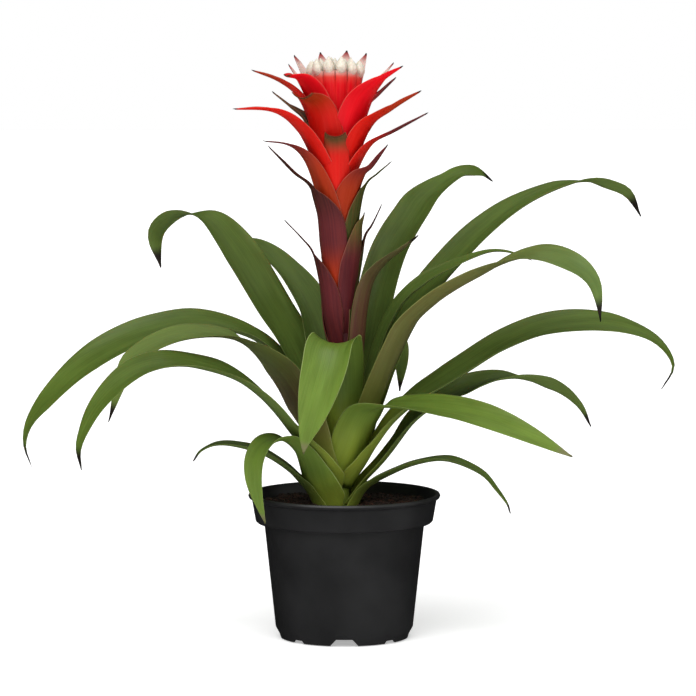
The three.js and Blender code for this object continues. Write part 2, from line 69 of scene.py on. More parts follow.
def mathNode(tree, operation, *values):
    return addNode(tree, "ShaderNodeMath", {"operation": operation}, dict(enumerate(values)))


def vectorNode(tree, operation, *values):
    places = (0, "Scale") if operation == "SCALE" else (0, 1)
    return addNode(tree, "ShaderNodeVectorMath", {"operation": operation}, dict(zip(places, values)))


def rangeNode(tree, value, low, high, toLow=0, toHigh=1, smooth=False):
    kind = "SMOOTHSTEP" if smooth else "LINEAR"
    return addNode(tree, "ShaderNodeMapRange", {"interpolation_type": kind},
                   {"Value": value, "From Min": low, "From Max": high, "To Min": toLow, "To Max": toHigh})


def mixNode(tree, share, low, high):
    values = {"Factor": share, 6: low, 7: high}
    return addNode(tree, "ShaderNodeMix", {"data_type": "RGBA"}, values).outputs[2]


def newMaterial(name, settings):
    # a Principled material; every setting is put on the shader's own socket
    material = bpy.data.materials.new(name)
    material.use_nodes = True
    tree = material.node_tree
    return material, tree, fillInputs(tree, tree.nodes["Principled BSDF"], settings)


def rampOf(tree, source, stops):
    made = addNode(tree, "ShaderNodeValToRGB", None, {"Fac": source})
    ramp = made.color_ramp
    while len(ramp.elements) < len(stops):
        ramp.elements.new(1)
    for element, (place, value) in zip(ramp.elements, stops):
        element.position = place
        element.color = hexColour(value) if isinstance(value, str) else [value, value, value, 1]
    return made


def newTree(name, inputs):
    tree = bpy.data.node_groups.new(name, "GeometryNodeTree")
    tree.interface.new_socket(name="Geometry", in_out="OUTPUT", socket_type="NodeSocketGeometry")
    for label, kind in inputs:
        tree.interface.new_socket(name=label, in_out="INPUT", socket_type="NodeSocket" + kind)
    return tree, tree.nodes.new("NodeGroupInput").outputs


def runTree(tree, source, inputs):
    # the tree's result on a mesh, as a plain mesh
    host = bpy.data.objects.new("host", source)
    scene.collection.objects.link(host)
    modifier = host.modifiers.new("tree", "NODES")
    modifier.node_group = tree
    for item in tree.interface.items_tree:
        if item.in_out == "INPUT" and item.name in inputs:
            modifier[item.identifier] = inputs[item.name]
    bpy.context.view_layer.update()
    evaluated = host.evaluated_get(bpy.context.evaluated_depsgraph_get())
    mesh = bpy.data.meshes.new_from_object(evaluated)
    bpy.data.objects.remove(host)
    return mesh


def addPiece(name, mesh, slot, *nodes):
    piece = bpy.data.objects.new(name, mesh)
    mesh.name = name
    scene.collection.objects.link(piece)
    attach(piece, "root")
    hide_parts(*nodes)


def joinMeshes(meshes):
    # one mesh of several, with their attributes
    objects = [bpy.data.objects.new("part", mesh) for mesh in meshes]
    for item in objects:
        scene.collection.objects.link(item)
    with bpy.context.temp_override(active_object=objects[0], selected_editable_objects=objects):
        bpy.ops.object.join()
    mesh = objects[0].data
    bpy.data.objects.remove(objects[0])
    return mesh


def turnedMesh(profile, sides, material):
    # a solid of revolution from (radius, height) points in mm that start and end on the axis
    made = bmesh.new()
    rings = []
    for radius, height in profile:
        count = 1 if radius == 0 else sides
        turns = [2 * math.pi * i / sides for i in range(count)]
        rings.append([made.verts.new((radius * mm * math.cos(t), radius * mm * math.sin(t), height * mm))
                      for t in turns])
    for low, high in zip(rings, rings[1:]):
        for i in range(sides):
            j = (i + 1) % sides
            corners = [low[i % len(low)], low[j % len(low)], high[j % len(high)], high[i % len(high)]]
            made.faces.new(list(dict.fromkeys(corners)))
    bmesh.ops.recalc_face_normals(made, faces=made.faces)
    mesh = bpy.data.meshes.new("turned")
    made.to_mesh(mesh)
    made.free()
    mesh.shade_smooth()
    mesh.materials.append(material)
    return mesh


def smoothStep(value, low, high):
    share = min(max((value - low) / (high - low), 0), 1)
    return share * share * (3 - 2 * share)


plantStand = {"shift": -5, "fades": (16, 36), "heights": (92, 145), "leanFrom": 108, "lean": 0.023}


def settle(mesh, leaning):
    # moves the plant's foot to its place in the pot, and leans the spike to the left
    for vertex in mesh.vertices:
        x, y, z = vertex.co / mm
        near = 1 - smoothStep(math.hypot(x, y), *plantStand["fades"])
        low = 1 - smoothStep(z, *plantStand["heights"])
        lean = plantStand["lean"] * max(0, z - plantStand["leanFrom"]) if leaning else 0
        vertex.co.x += (plantStand["shift"] * near * low - lean) * mm
    return mesh


print("helpers ready")

# Camera and light
camera = {"place": (2.3, -2700, 458), "aim": 181, "lens": 225.67}
cameraData = bpy.data.cameras.new("camera")
cameraData.lens = camera["lens"]
cameraData.clip_end = 20
cameraObject = bpy.data.objects.new("camera", cameraData)
cameraObject.location = Vector(camera["place"]) * mm
pitch = math.atan2(camera["place"][2] - camera["aim"], -camera["place"][1])
cameraObject.rotation_euler = (math.pi / 2 - pitch, 0, 0)
scene.collection.objects.link(cameraObject)
scene.camera = cameraObject
# plain colours, as a product photo has them, with no film curve
scene.view_settings.view_transform = "Standard"

# a wide soft light high in front, a little to the left, a weak one overhead towards the back, one low on
# the right, and a white room
lights = [
    {"name": "frontSoftbox", "kind": "SUN", "strength": 2.5, "angle": 55, "place": (-0.55, -1.5, 1.9)},
    {"name": "overheadSoftbox", "kind": "SUN", "strength": 0.45, "angle": 80, "place": (0.5, 0.6, 2.0)},
    {"name": "sideSoftbox", "kind": "SUN", "strength": 0.8, "angle": 80, "place": (1.5, -1.1, 0.5)},
]
for settings in lights:
    data = bpy.data.lights.new(settings["name"], settings["kind"])
    data.energy = settings["strength"]
    data.angle = math.radians(settings["angle"])
    lamp = bpy.data.objects.new(settings["name"], data)
    lamp.location = settings["place"]
    lamp.rotation_euler = Vector(settings["place"]).to_track_quat("Z", "Y").to_euler()
    scene.collection.objects.link(lamp)

# the room is dimmed in glossy rays, as black flags round the set would do, to keep reflections of the room
# off the wax and the plastic
room = {"colour": "#ffffff", "seen": 1.0, "lighting": 0.28, "flagged": 0.06}
world = bpy.data.worlds.new("studioWhite")
world.use_nodes = True
tree = world.node_tree
sight = addNode(tree, "ShaderNodeLightPath")
strength = rangeNode(tree, sight.outputs["Is Camera Ray"], 0, 1, room["lighting"], room["seen"])
flags = rangeNode(tree, sight.outputs["Is Glossy Ray"], 0, 1, 1, room["flagged"])
fillInputs(tree, tree.nodes["Background"], {
    "Color": hexColour(room["colour"]), "Strength": mathNode(tree, "MULTIPLY", strength, flags)})
scene.world = world

# Floor: white opal acrylic, lit a little from below, so that only a faint contact shadow is left
floorSettings = {"reach": 6.0, "depth": -0.0005, "glow": 0.4}
floorMaterial = newMaterial("opalAcrylic", {
    "Base Color": hexColour("#fafafa"), "Roughness": 0.8, "Emission Color": hexColour("#ffffff"),
    "Emission Strength": floorSettings["glow"]})[0]
floorMesh = bpy.data.meshes.new("floor")
reach = floorSettings["reach"]
corners = [(-reach, -reach), (reach, -reach), (reach, reach), (-reach, reach)]
floorMesh.from_pydata([(x, y, floorSettings["depth"]) for x, y in corners], [], [(0, 1, 2, 3)])
floorMesh.materials.append(floorMaterial)
floorObject = bpy.data.objects.new("floor", floorMesh)
scene.collection.objects.link(floorObject)
floorObject.visible_glossy = False
print("camera, light and floor ready")

# Pot: injection-moulded polypropylene, satin black, a little dusty
pot = {
    "height": 90, "rim": 60, "lip": 2.4, "bandTop": 57.7, "bandFoot": 55.4, "bandHeight": 73.2,
    "bodyTop": 50, "bodyFoot": 43, "bodyHeight": 6.6, "foot": 40.3, "wall": 1.3, "floorUnder": 4.5,
    "pad": 14, "sides": 128, "edge": 0.3, "edgeAngle": 25, "sharpAngle": 40,
    "notches": [{"count": 4, "first": -90, "width": 17, "height": 4.2, "top": 10},
                {"count": 4, "first": -45, "width": 9, "height": 1.8, "top": 7}],
    "holes": {"count": 6, "radius": 3, "ring": 28, "sides": 32},
    "cut": {"across": 10, "below": 1, "straight": 0.2, "depth": 6},
}
potMaterial, tree, shader = newMaterial("mouldedPolypropylene", {
    "Roughness": 0.42, "IOR": 1.49, "Specular IOR Level": 0.45})
place = addNode(tree, "ShaderNodeTexCoord").outputs["Object"]
# moulded skin: fine grain about 0.4 mm across
grain = addNode(tree, "ShaderNodeTexNoise", None, {"Vector": place, "Scale": 2500.0, "Detail": 3.0})
smears = addNode(tree, "ShaderNodeTexNoise", None, {"Vector": place, "Scale": 28.0, "Detail": 5.0})
tone = rampOf(tree, smears, [(0.35, "#1c1c1d"), (0.7, "#252526")])
sheen = rampOf(tree, smears, [(0.3, 0.4), (0.75, 0.52)])
bump = addNode(tree, "ShaderNodeBump", None, {"Height": grain, "Strength": 0.12, "Distance": 0.0003})
fillInputs(tree, shader, {"Base Color": tone, "Roughness": sheen, "Normal": bump})


def potProfile():
    # bare steps of a millimetre or so are the moulding's radii and draft
    p = pot
    outside = [
        (0, 0), (p["pad"], 0), (p["pad"] + 1.2, p["floorUnder"]),
        (p["foot"] - p["wall"] - 0.8, p["floorUnder"]), (p["foot"] - p["wall"], 0), (p["foot"], 0),
        (p["foot"] + 0.6, 2.6), (p["bodyFoot"], p["bodyHeight"]), (p["bodyTop"], p["bandHeight"] - 1.6),
        (p["bandFoot"] - 0.9, p["bandHeight"] - 0.9), (p["bandFoot"], p["bandHeight"]),
        (p["bandTop"], p["height"] - p["lip"] - 1.2), (p["rim"] - 0.5, p["height"] - p["lip"]),
        (p["rim"], p["height"] - p["lip"] / 2), (p["rim"] - 0.6, p["height"]),
    ]
    inside = [
        (p["bandTop"] - 0.4, p["height"]), (p["bandTop"] - p["wall"], p["height"] - p["lip"]),
        (p["bandFoot"] - p["wall"] - 0.2, p["bandHeight"] + 0.6),
        (p["bodyTop"] - p["wall"], p["bandHeight"] - 0.6), (p["bodyFoot"] - p["wall"], p["bodyHeight"] + 1),
        (p["foot"] - p["wall"] - 0.4, p["floorUnder"] + p["wall"]), (0, p["floorUnder"] + p["wall"]),
    ]
    return outside + inside


def blockMesh(outline, length, turn, out):
    # a prism on a flat outline of (aside, height) points, laid across the foot ring
    made = bmesh.new()
    ends = [[made.verts.new((a * mm, (out + step) * mm, h * mm)) for a, h in outline]
            for step in (-length / 2, length / 2)]
    made.faces.new(ends[0])
    made.faces.new(list(reversed(ends[1])))
    for i in range(len(outline)):
        j = (i + 1) % len(outline)
        made.faces.new([ends[0][i], ends[1][i], ends[1][j], ends[0][j]])
    bmesh.ops.recalc_face_normals(made, faces=made.faces)
    made.transform(Matrix.Rotation(turn - math.pi / 2, 4, "Z"))
    mesh = bpy.data.meshes.new("block")
    made.to_mesh(mesh)
    made.free()
    return mesh


def potCutters():
    cutters = []
    cut = pot["cut"]
    for notch in pot["notches"]:
        w, t, h = notch["width"] / 2, notch["top"] / 2, notch["height"]
        outline = [(-w, -cut["below"]), (w, -cut["below"]), (w, cut["straight"]), (t, h), (-t, h),
                   (-w, cut["straight"])]
        for i in range(notch["count"]):
            turn = math.radians(notch["first"] + 360 * i / notch["count"])
            cutters.append(blockMesh(outline, cut["across"], turn, pot["foot"]))
    holes = pot["holes"]
    for i in range(holes["count"]):
        turn = math.radians((i + 0.5) * 360 / holes["count"])
        made = bmesh.new()
        bmesh.ops.create_cone(made, cap_ends=True, segments=holes["sides"], radius1=holes["radius"] * mm,
                              radius2=holes["radius"] * mm, depth=cut["depth"] * mm)
        made.transform(Matrix.Translation((holes["ring"] * mm * math.cos(turn),
                                           holes["ring"] * mm * math.sin(turn),
                                           (pot["floorUnder"] + pot["wall"] / 2) * mm)))
        mesh = bpy.data.meshes.new("hole")
        made.to_mesh(mesh)
        made.free()
        cutters.append(mesh)
    return joinMeshes(cutters)


def potMesh():
    shell = bpy.data.objects.new("shell", turnedMesh(potProfile(), pot["sides"], potMaterial))
    cutter = bpy.data.objects.new("cutter", potCutters())
    for item in (shell, cutter):
        scene.collection.objects.link(item)
    cut = shell.modifiers.new("cut", "BOOLEAN")
    cut.operation = "DIFFERENCE"
    cut.solver = "EXACT"
    cut.object = cutter
    bevel = shell.modifiers.new("edge", "BEVEL")
    bevel.width = pot["edge"] * mm
    bevel.segments = 2
    bevel.limit_method = "ANGLE"
    bevel.angle_limit = math.radians(pot["edgeAngle"])
    bpy.context.view_layer.update()
    mesh = bpy.data.meshes.new_from_object(shell.evaluated_get(bpy.context.evaluated_depsgraph_get()))
    bpy.data.objects.remove(shell)
    bpy.data.objects.remove(cutter)
    mesh.shade_smooth()
    mesh.set_sharp_from_angle(angle=math.radians(pot["sharpAngle"]))
    return mesh


addPiece("growersPot", potMesh(), "pot_plastic", "pot")
print("pot ready")

# Soil: moist peat with coarser crumbs and reddish bark
soil = {
    "top": 83.5, "crumb": 0.7, "sides": 96, "rings": 26, "mouth": 15.6, "hole": 11, "holeFoot": 42.5,
    "wallIn": 1.8, "grains": 2600, "grainSize": 0.62, "smallest": (0.35, 0.4, 0.3),
    "largest": (1.9, 1.3, 1.1), "turn": 6.28, "seed": 4, "turnSeed": 11, "fine": 0.35, "lowest": 1.7,
}
peatMaterial, tree, shader = newMaterial("moistPeat", {"Roughness": 0.88, "Specular IOR Level": 0.3})
place = addNode(tree, "ShaderNodeTexCoord").outputs["Object"]
# crumbs 1 to 3 mm across
crumbs = addNode(tree, "ShaderNodeTexVoronoi", None, {"Vector": place, "Scale": 520.0})
fibres = addNode(tree, "ShaderNodeTexNoise", None, {"Vector": place, "Scale": 900.0, "Detail": 6.0})
patches = addNode(tree, "ShaderNodeSeparateColor", None, {"Color": crumbs.outputs["Color"]})
peatTone = rampOf(tree, patches, [(0.0, "#160e0a"), (0.45, "#241812"), (0.72, "#35221a"), (0.86, "#4a2c20"),
                                  (1.0, "#1b120d")])
bump = addNode(tree, "ShaderNodeBump", None, {"Height": fibres, "Strength": 0.7, "Distance": 0.0009})
fillInputs(tree, shader, {"Base Color": peatTone, "Normal": bump})


def soilBody():
    # its side keeps about half a millimetre off the pot's inside, and the stem's hole is in its middle
    p, s = pot, soil
    topRadii = np.linspace(p["bandFoot"] - s["wallIn"] - 1.2, s["mouth"] + 2, s["rings"])
    profile = [
        (0, p["floorUnder"] + s["wallIn"]), (p["foot"] - s["wallIn"] - 0.5, p["floorUnder"] + s["wallIn"]),
        (p["bodyFoot"] - s["wallIn"], p["bodyHeight"] + 1.3), (p["bodyTop"] - s["wallIn"], p["bandHeight"]),
        (p["bodyTop"] - s["wallIn"] + 0.3, p["bandHeight"] + 0.9),
        (p["bandFoot"] - s["wallIn"] - 0.3, p["bandHeight"] + 1.2),
        (p["bandFoot"] - s["wallIn"] + 0.9, s["top"] - 1.6),
    ]
    profile += [(float(r), s["top"]) for r in topRadii]
    profile += [(s["mouth"], s["top"] - 0.8), (s["hole"], s["top"] - 10), (s["hole"], s["holeFoot"]),
                (0, s["holeFoot"])]
    mesh = turnedMesh(profile, s["sides"], peatMaterial)
    for vertex in mesh.vertices:
        x, y, z = vertex.co / mm
        # the top heaves in waves of about 20 mm, and finer ones of about 5 mm
        if z > s["top"] - 0.01:
            rows = math.sin(0.31 * x + 1.7 * math.sin(0.23 * y))
            columns = math.sin(0.37 * y - 1.3 * math.sin(0.19 * x))
            fine = math.sin(1.3 * x + 2 * math.sin(0.9 * y)) * math.sin(1.1 * y + 2 * math.sin(1.2 * x))
            vertex.co.z = (s["top"] + s["crumb"] * (rows + columns) + s["fine"] * fine) * mm
    return mesh


def crumbTree():
    # crumbs of random size and turn, strewn over the top of the soil
    tree, given = newTree("strewnCrumbs", [("Geometry", "Geometry"), ("Count", "Float"), ("Size", "Float"),
                                           ("Lowest", "Float"), ("Seed", "Int"), ("Material", "Material")])
    height = addNode(tree, "ShaderNodeSeparateXYZ", None, {0: addNode(tree, "GeometryNodeInputPosition")})
    onTop = mathNode(tree, "GREATER_THAN", height.outputs["Z"], given["Lowest"])
    points = addNode(tree, "GeometryNodeDistributePointsOnFaces", None,
                     {"Mesh": given["Geometry"], "Selection": onTop, "Density": given["Count"],
                      "Seed": given["Seed"]})
    crumb = addNode(tree, "GeometryNodeMeshIcoSphere", None, {"Radius": given["Size"], "Subdivisions": 1})
    size = addNode(tree, "FunctionNodeRandomValue", {"data_type": "FLOAT_VECTOR"},
                   {0: soil["smallest"], 1: soil["largest"], "Seed": given["Seed"]})
    turn = addNode(tree, "FunctionNodeRandomValue", {"data_type": "FLOAT_VECTOR"},
                   {0: (0, 0, 0), 1: (soil["turn"],) * 3, "Seed": soil["turnSeed"]})
    strewn = addNode(tree, "GeometryNodeInstanceOnPoints", None,
                     {"Points": points.outputs["Points"], "Instance": crumb, "Rotation": turn, "Scale": size})
    solid = addNode(tree, "GeometryNodeRealizeInstances", None, {"Geometry": strewn})
    together = addNode(tree, "GeometryNodeJoinGeometry", None, {"Geometry": given["Geometry"]})
    tree.links.new(solid.outputs[0], together.inputs[0])
    painted = addNode(tree, "GeometryNodeSetMaterial", None,
                      {"Geometry": together, "Material": given["Material"]})
    addNode(tree, "NodeGroupOutput", None, {0: painted})
    return tree


topArea = math.pi * ((pot["bandFoot"] * mm) ** 2 - (soil["mouth"] * mm) ** 2)
soilMesh = runTree(crumbTree(), soilBody(), {
    "Count": soil["grains"] / topArea, "Size": soil["grainSize"] * mm,
    "Lowest": (soil["top"] - soil["lowest"]) * mm, "Seed": soil["seed"], "Material": peatMaterial})
addPiece("peatSoil", settle(soilMesh, False), "peat", "soil")
print("soil ready")

# Blades: leaves and bracts share one rule. The section is an arc, hollow side up, laid along a spine that
# carries the section's half width, cup and roll.
bladeInputs = [
    ("Geometry", "Geometry"), ("Material", "Material"), ("Aside", "Vector"), ("Rings", "Int"),
    ("Sides", "Int"), ("Half Thickness", "Float"), ("Ripple", "Float"), ("Seed", "Float"),
    ("Foot Tone", "Color"), ("Body Tone", "Color"), ("Tail Tone", "Color"), ("Body From", "Float"),
    ("Body To", "Float"), ("Tail From", "Float"), ("Tail To", "Float"),
]


bladeForm = {"closes": 0.014, "weld": 2e-6, "waves": 4.0, "waveRange": (0.3, 0.7), "waveStarts": (0.25, 0.55)}


def bladeTree():
    tree, given = newTree("bladeAlongSpine", bladeInputs)
    spine = addNode(tree, "GeometryNodeMeshToCurve", None, {"Mesh": given["Geometry"]})
    sheet = addNode(tree, "GeometryNodeMeshGrid", None, {
        "Size X": 1.0, "Size Y": 1.0, "Vertices X": mathNode(tree, "ADD", given["Sides"], 1.0),
        "Vertices Y": mathNode(tree, "ADD", given["Rings"], 1.0)})
    flat = addNode(tree, "ShaderNodeSeparateXYZ", None, {0: addNode(tree, "GeometryNodeInputPosition")})
    # the sheet's x runs once round the section, and its y runs from foot to tip
    around = rangeNode(tree, flat.outputs["X"], -0.5, 0.5, 0, 2 * math.pi)
    share = mathNode(tree, "ADD", flat.outputs["Y"], 0.5)
    across = mathNode(tree, "COSINE", around)
    face = mathNode(tree, "SINE", around)
    sampled = {}
    for name in ("roll", "halfWidth", "cup"):
        stored = addNode(tree, "GeometryNodeInputNamedAttribute", {"data_type": "FLOAT"}, {"Name": name})
        sampled[name] = addNode(tree, "GeometryNodeSampleCurve", {"data_type": "FLOAT", "mode": "FACTOR"},
                                {"Curves": spine, "Value": stored, "Factor": share})
    centre = sampled["roll"]
    width, cup = sampled["halfWidth"].outputs["Value"], sampled["cup"].outputs["Value"]
    tangent = centre.outputs["Tangent"]
    # the blade's own directions: level across it, rolled about the spine, and up out of its hollow side
    lean = vectorNode(tree, "DOT_PRODUCT", given["Aside"], tangent).outputs["Value"]
    level = vectorNode(tree, "SUBTRACT", given["Aside"], vectorNode(tree, "SCALE", tangent, lean))
    level = vectorNode(tree, "NORMALIZE", level)
    side = addNode(tree, "ShaderNodeVectorRotate", {"rotation_type": "AXIS_ANGLE"},
                   {"Vector": level, "Axis": tangent, "Angle": centre.outputs["Value"]})
    up = vectorNode(tree, "CROSS_PRODUCT", tangent, side)
    arc = mathNode(tree, "DIVIDE", width, cup)
    bend = mathNode(tree, "MULTIPLY", across, cup)

    # the two faces meet in a thin margin, and close at the foot and the tip
    closing = rangeNode(tree, mathNode(tree, "PINGPONG", share, 0.5), 0, bladeForm["closes"])
    thick = mathNode(tree, "MULTIPLY", face, given["Half Thickness"])
    thick = mathNode(tree, "MULTIPLY", thick, closing)
    reachOut = mathNode(tree, "SUBTRACT", arc, thick)

    # a slow wave along the margins, none near the foot where the blades nest
    wavePlace = addNode(tree, "ShaderNodeCombineXYZ", None, {"X": share, "Y": given["Seed"], "Z": across})
    wave = addNode(tree, "ShaderNodeTexNoise", None,
                   {"Vector": wavePlace, "Scale": bladeForm["waves"], "Detail": 1.0})
    wave = rangeNode(tree, wave, *bladeForm["waveRange"], -1, 1)
    wave = mathNode(tree, "MULTIPLY", wave, rangeNode(tree, share, *bladeForm["waveStarts"], smooth=True))
    wave = mathNode(tree, "MULTIPLY", wave, mathNode(tree, "POWER", across, 2.0))

    sideways = mathNode(tree, "MULTIPLY", reachOut, mathNode(tree, "SINE", bend))
    sunk = mathNode(tree, "MULTIPLY", reachOut, mathNode(tree, "COSINE", bend))
    lift = mathNode(tree, "SUBTRACT", arc, sunk)
    lift = mathNode(tree, "MULTIPLY_ADD", wave, given["Ripple"], lift)
    raised = vectorNode(tree, "SCALE", up, lift)
    place = vectorNode(tree, "ADD", vectorNode(tree, "SCALE", side, sideways), raised)
    place = vectorNode(tree, "ADD", place, centre.outputs["Position"])

    # what the tissue materials read: metres over the blade, shares of it, face, and its own tone
    length = addNode(tree, "GeometryNodeCurveLength", None, {0: spine})
    overBlade = addNode(tree, "ShaderNodeCombineXYZ", None, {
        "X": mathNode(tree, "MULTIPLY", width, across), "Y": mathNode(tree, "MULTIPLY", length, share),
        "Z": given["Seed"]})
    tone = given["Foot Tone"]
    for part in ("Body", "Tail"):
        nextTone, start, end = (given[f"{part} {label}"] for label in ("Tone", "From", "To"))
        tone = mixNode(tree, rangeNode(tree, share, start, end, smooth=True), tone, nextTone)
    kept = sheet.outputs["Mesh"]
    for name, kind, value in (("overBlade", "FLOAT_VECTOR", overBlade), ("share", "FLOAT", share),
                              ("across", "FLOAT", across), ("face", "FLOAT", face),
                              ("tone", "FLOAT_COLOR", tone)):
        kept = addNode(tree, "GeometryNodeStoreNamedAttribute", {"data_type": kind, "domain": "POINT"},
                       {"Geometry": kept, "Name": name, "Value": value})
    shaped = addNode(tree, "GeometryNodeSetPosition", None, {"Geometry": kept, "Position": place})
    closed = addNode(tree, "GeometryNodeMergeByDistance", None,
                     {"Geometry": shaped, "Distance": bladeForm["weld"]})
    painted = addNode(tree, "GeometryNodeSetMaterial", None,
                      {"Geometry": closed, "Material": given["Material"]})
    addNode(tree, "NodeGroupOutput", None, {0: painted})
    return tree


def mixed(low, high, share):
    return low + (high - low) * share


spineForm = {"steps": 16, "leastClimb": 0.4}
flatRoll = [(0, 0), (1, 0)]


def spineMesh(heading, path, roll, form):
    # a smooth path through (out, height, aside) points; form gives half width and cup from the share of the
    # length, the radius at which the blade lies flat on a cone about the stem, and the distance out
    out = Vector((math.cos(math.radians(heading)), math.sin(math.radians(heading)), 0))
    aside = Vector((-out.y, out.x, 0))
    knots = [out * p[0] + aside * (p[2] if len(p) > 2 else 0) + Vector((0, 0, p[1])) for p in path]
    knots = [2 * knots[0] - knots[1]] + knots + [2 * knots[-1] - knots[-2]]
    steps = spineForm["steps"]
    points = []
    for a, b, c, d in zip(knots, knots[1:], knots[2:], knots[3:]):
        for t in (i / steps for i in range(steps)):
            points.append(0.5 * (2 * b + (c - a) * t + (2 * a - 5 * b + 4 * c - d) * t ** 2
                                 + (3 * b - a - 3 * c + d) * t ** 3))
    points.append(knots[-2])
    mesh = bpy.data.meshes.new("spine")
    mesh.from_pydata([p * mm for p in points], [(i, i + 1) for i in range(len(points) - 1)], [])
    gaps = [0] + [(b - a).length for a, b in zip(points, points[1:])]
    shares = np.cumsum(gaps) / sum(gaps)
    widths, cups = [], []
    for i, point in enumerate(points):
        tangent = (points[min(i + 1, len(points) - 1)] - points[max(i - 1, 0)]).normalized()
        reach = math.hypot(point.x, point.y)
        half, cup = form(shares[i], reach / max(tangent.z, spineForm["leastClimb"]), reach)
        widths.append(half * mm)
        cups.append(cup)
    places, turns = zip(*roll)
    for name, values in (("roll", np.radians(np.interp(shares, places, turns))), ("halfWidth", widths),
                         ("cup", cups)):
        mesh.attributes.new(name, "FLOAT", "POINT").data.foreach_set("value", values)
    return mesh, aside


blades = bladeTree()


def bladeMesh(heading, path, roll, form, material, settings, tones, leaning):
    spine, aside = spineMesh(heading, path, roll, form)
    inputs = dict(settings, Material=material, Aside=aside)
    for label, tone in zip(("Foot Tone", "Body Tone", "Tail Tone"), tones):
        inputs[label] = hexColour(tone)
    mesh = runTree(blades, spine, inputs)
    mesh.shade_smooth()
    return settle(mesh, leaning)


def along(pairs, place):
    places, values = zip(*pairs)
    return float(np.interp(place, places, values))


def tissueMaterial(name, look, settings):
    # living tissue: a waxy skin over fine veins that run the length of the blade
    material, tree, shader = newMaterial(name, settings)
    read = {label: addNode(tree, "ShaderNodeAttribute", {"attribute_name": label})
            for label in ("overBlade", "share", "across", "face", "tone")}
    over = read["overBlade"].outputs["Vector"]
    share, across, face = (read[label].outputs["Fac"] for label in ("share", "across", "face"))
    # veins about 0.9 mm apart, and slow blotches 30 mm long
    veinPlace = addNode(tree, "ShaderNodeMapping", {"vector_type": "TEXTURE"},
                        {"Vector": over, "Scale": (0.0009, 0.05, 1)})
    veins = addNode(tree, "ShaderNodeTexNoise", None, {"Vector": veinPlace, "Scale": 1.0, "Detail": 2.0})
    blotchPlace = addNode(tree, "ShaderNodeMapping", {"vector_type": "TEXTURE"},
                          {"Vector": over, "Scale": (0.006, 0.03, 1)})
    blotches = addNode(tree, "ShaderNodeTexNoise", None, {"Vector": blotchPlace, "Scale": 1.0, "Detail": 3.0})
    shade = rangeNode(tree, blotches, 0.3, 0.7, look["dark"], look["light"])
    skin = vectorNode(tree, "SCALE", read["tone"].outputs["Color"], shade)
    layers = {
        "under": rangeNode(tree, face, 0.15, -0.15, 0, look["underAmount"]),
        "vein": rangeNode(tree, veins, 0.35, 0.65, 0, look["veins"]),
        # a paler line along every edge of the blade: a painted highlight, standing in for light caught on its
        # thick edge
        "edgeHighlight": rangeNode(tree, mathNode(tree, "ABSOLUTE", across), look["edgeHighlightFrom"], 1, 0,
                            look["edgeHighlightAmount"]),
        "tip": rangeNode(tree, share, look["tipFrom"], look["tipTo"], smooth=True),
    }
    for label, amount in layers.items():
        skin = mixNode(tree, amount, skin, hexColour(look[label]))
    rough = rangeNode(tree, blotches, 0.3, 0.7, look["rough"] - 0.05, look["rough"] + 0.06)
    bump = addNode(tree, "ShaderNodeBump", None, {"Height": veins, "Strength": 0.2, "Distance": 0.0004})
    fillInputs(tree, shader, {"Base Color": skin, "Roughness": rough, "Normal": bump})
    return material


# Leaves: strap-shaped, in a rosette; paths in mm as (out, height, aside) from the stem's axis, roll in
# degrees at shares of the length, and tones from the sheath over the blade to the tip's end, with fading
# where they change elsewhere than usual
# the leaves' paler margin colour is a painted highlight along each blade's thick edge
leafLook = {
    "dark": 0.82, "light": 1.12, "under": "#5c6b38", "underAmount": 0.35, "vein": "#82974c", "veins": 0.1,
    "edgeHighlight": "#8f9d58", "edgeHighlightFrom": 0.965, "edgeHighlightAmount": 0.6,
    "tip": "#1d1712", "tipFrom": 0.938, "tipTo": 0.97, "rough": 0.42,
}
brightLook = dict(leafLook, under="#6a8038", vein="#94aa58", edgeHighlight="#b3c27c", tip="#6f7048")
leafTissue = {"Specular IOR Level": 0.3, "IOR": 1.42, "Subsurface Weight": 0.05, "Subsurface Scale": 0.002}
leafMaterials = {
    "leaf_green": tissueMaterial("leafTissueGreen", leafLook, leafTissue),
    "leaf_bright": tissueMaterial("leafTissueBright", brightLook, leafTissue),
    "leaf_olive": tissueMaterial("leafTissueOlive", dict(leafLook, under="#55452f"), leafTissue),
}
leafShape = {"Rings": 64, "Sides": 20, "Half Thickness": 0.4 * mm, "Ripple": 0.0006, "Body From": 0.04,
             "Body To": 0.28, "Tail From": 0.45, "Tail To": 0.9}
leafForm = {"sheathCup": 66, "tipCup": 12, "tipStart": 0.55, "power": 1.8, "sheathFades": (16, 40),
            "leastHalf": 0.4, "seedStep": 3.7}
green = ("#98a634", "#475a22", "#4d621f")
bright = ("#a0ae34", "#536b22", "#637c2c")
stemProfile = [(43, 7.4), (45, 8.9), (78, 8.9), (90, 7.9), (106, 6.4), (120, 5.2), (126, 4.8),
               (134, 5.6), (144, 6.8), (188, 7), (272, 8.6)]
sheaths = {"lowest": 74, "step": 3.8, "clearance": 1.0}
usualLeaf = {"cup": 34, "slot": "leaf_green", "tones": green, "roll": flatRoll, "fading": {}}
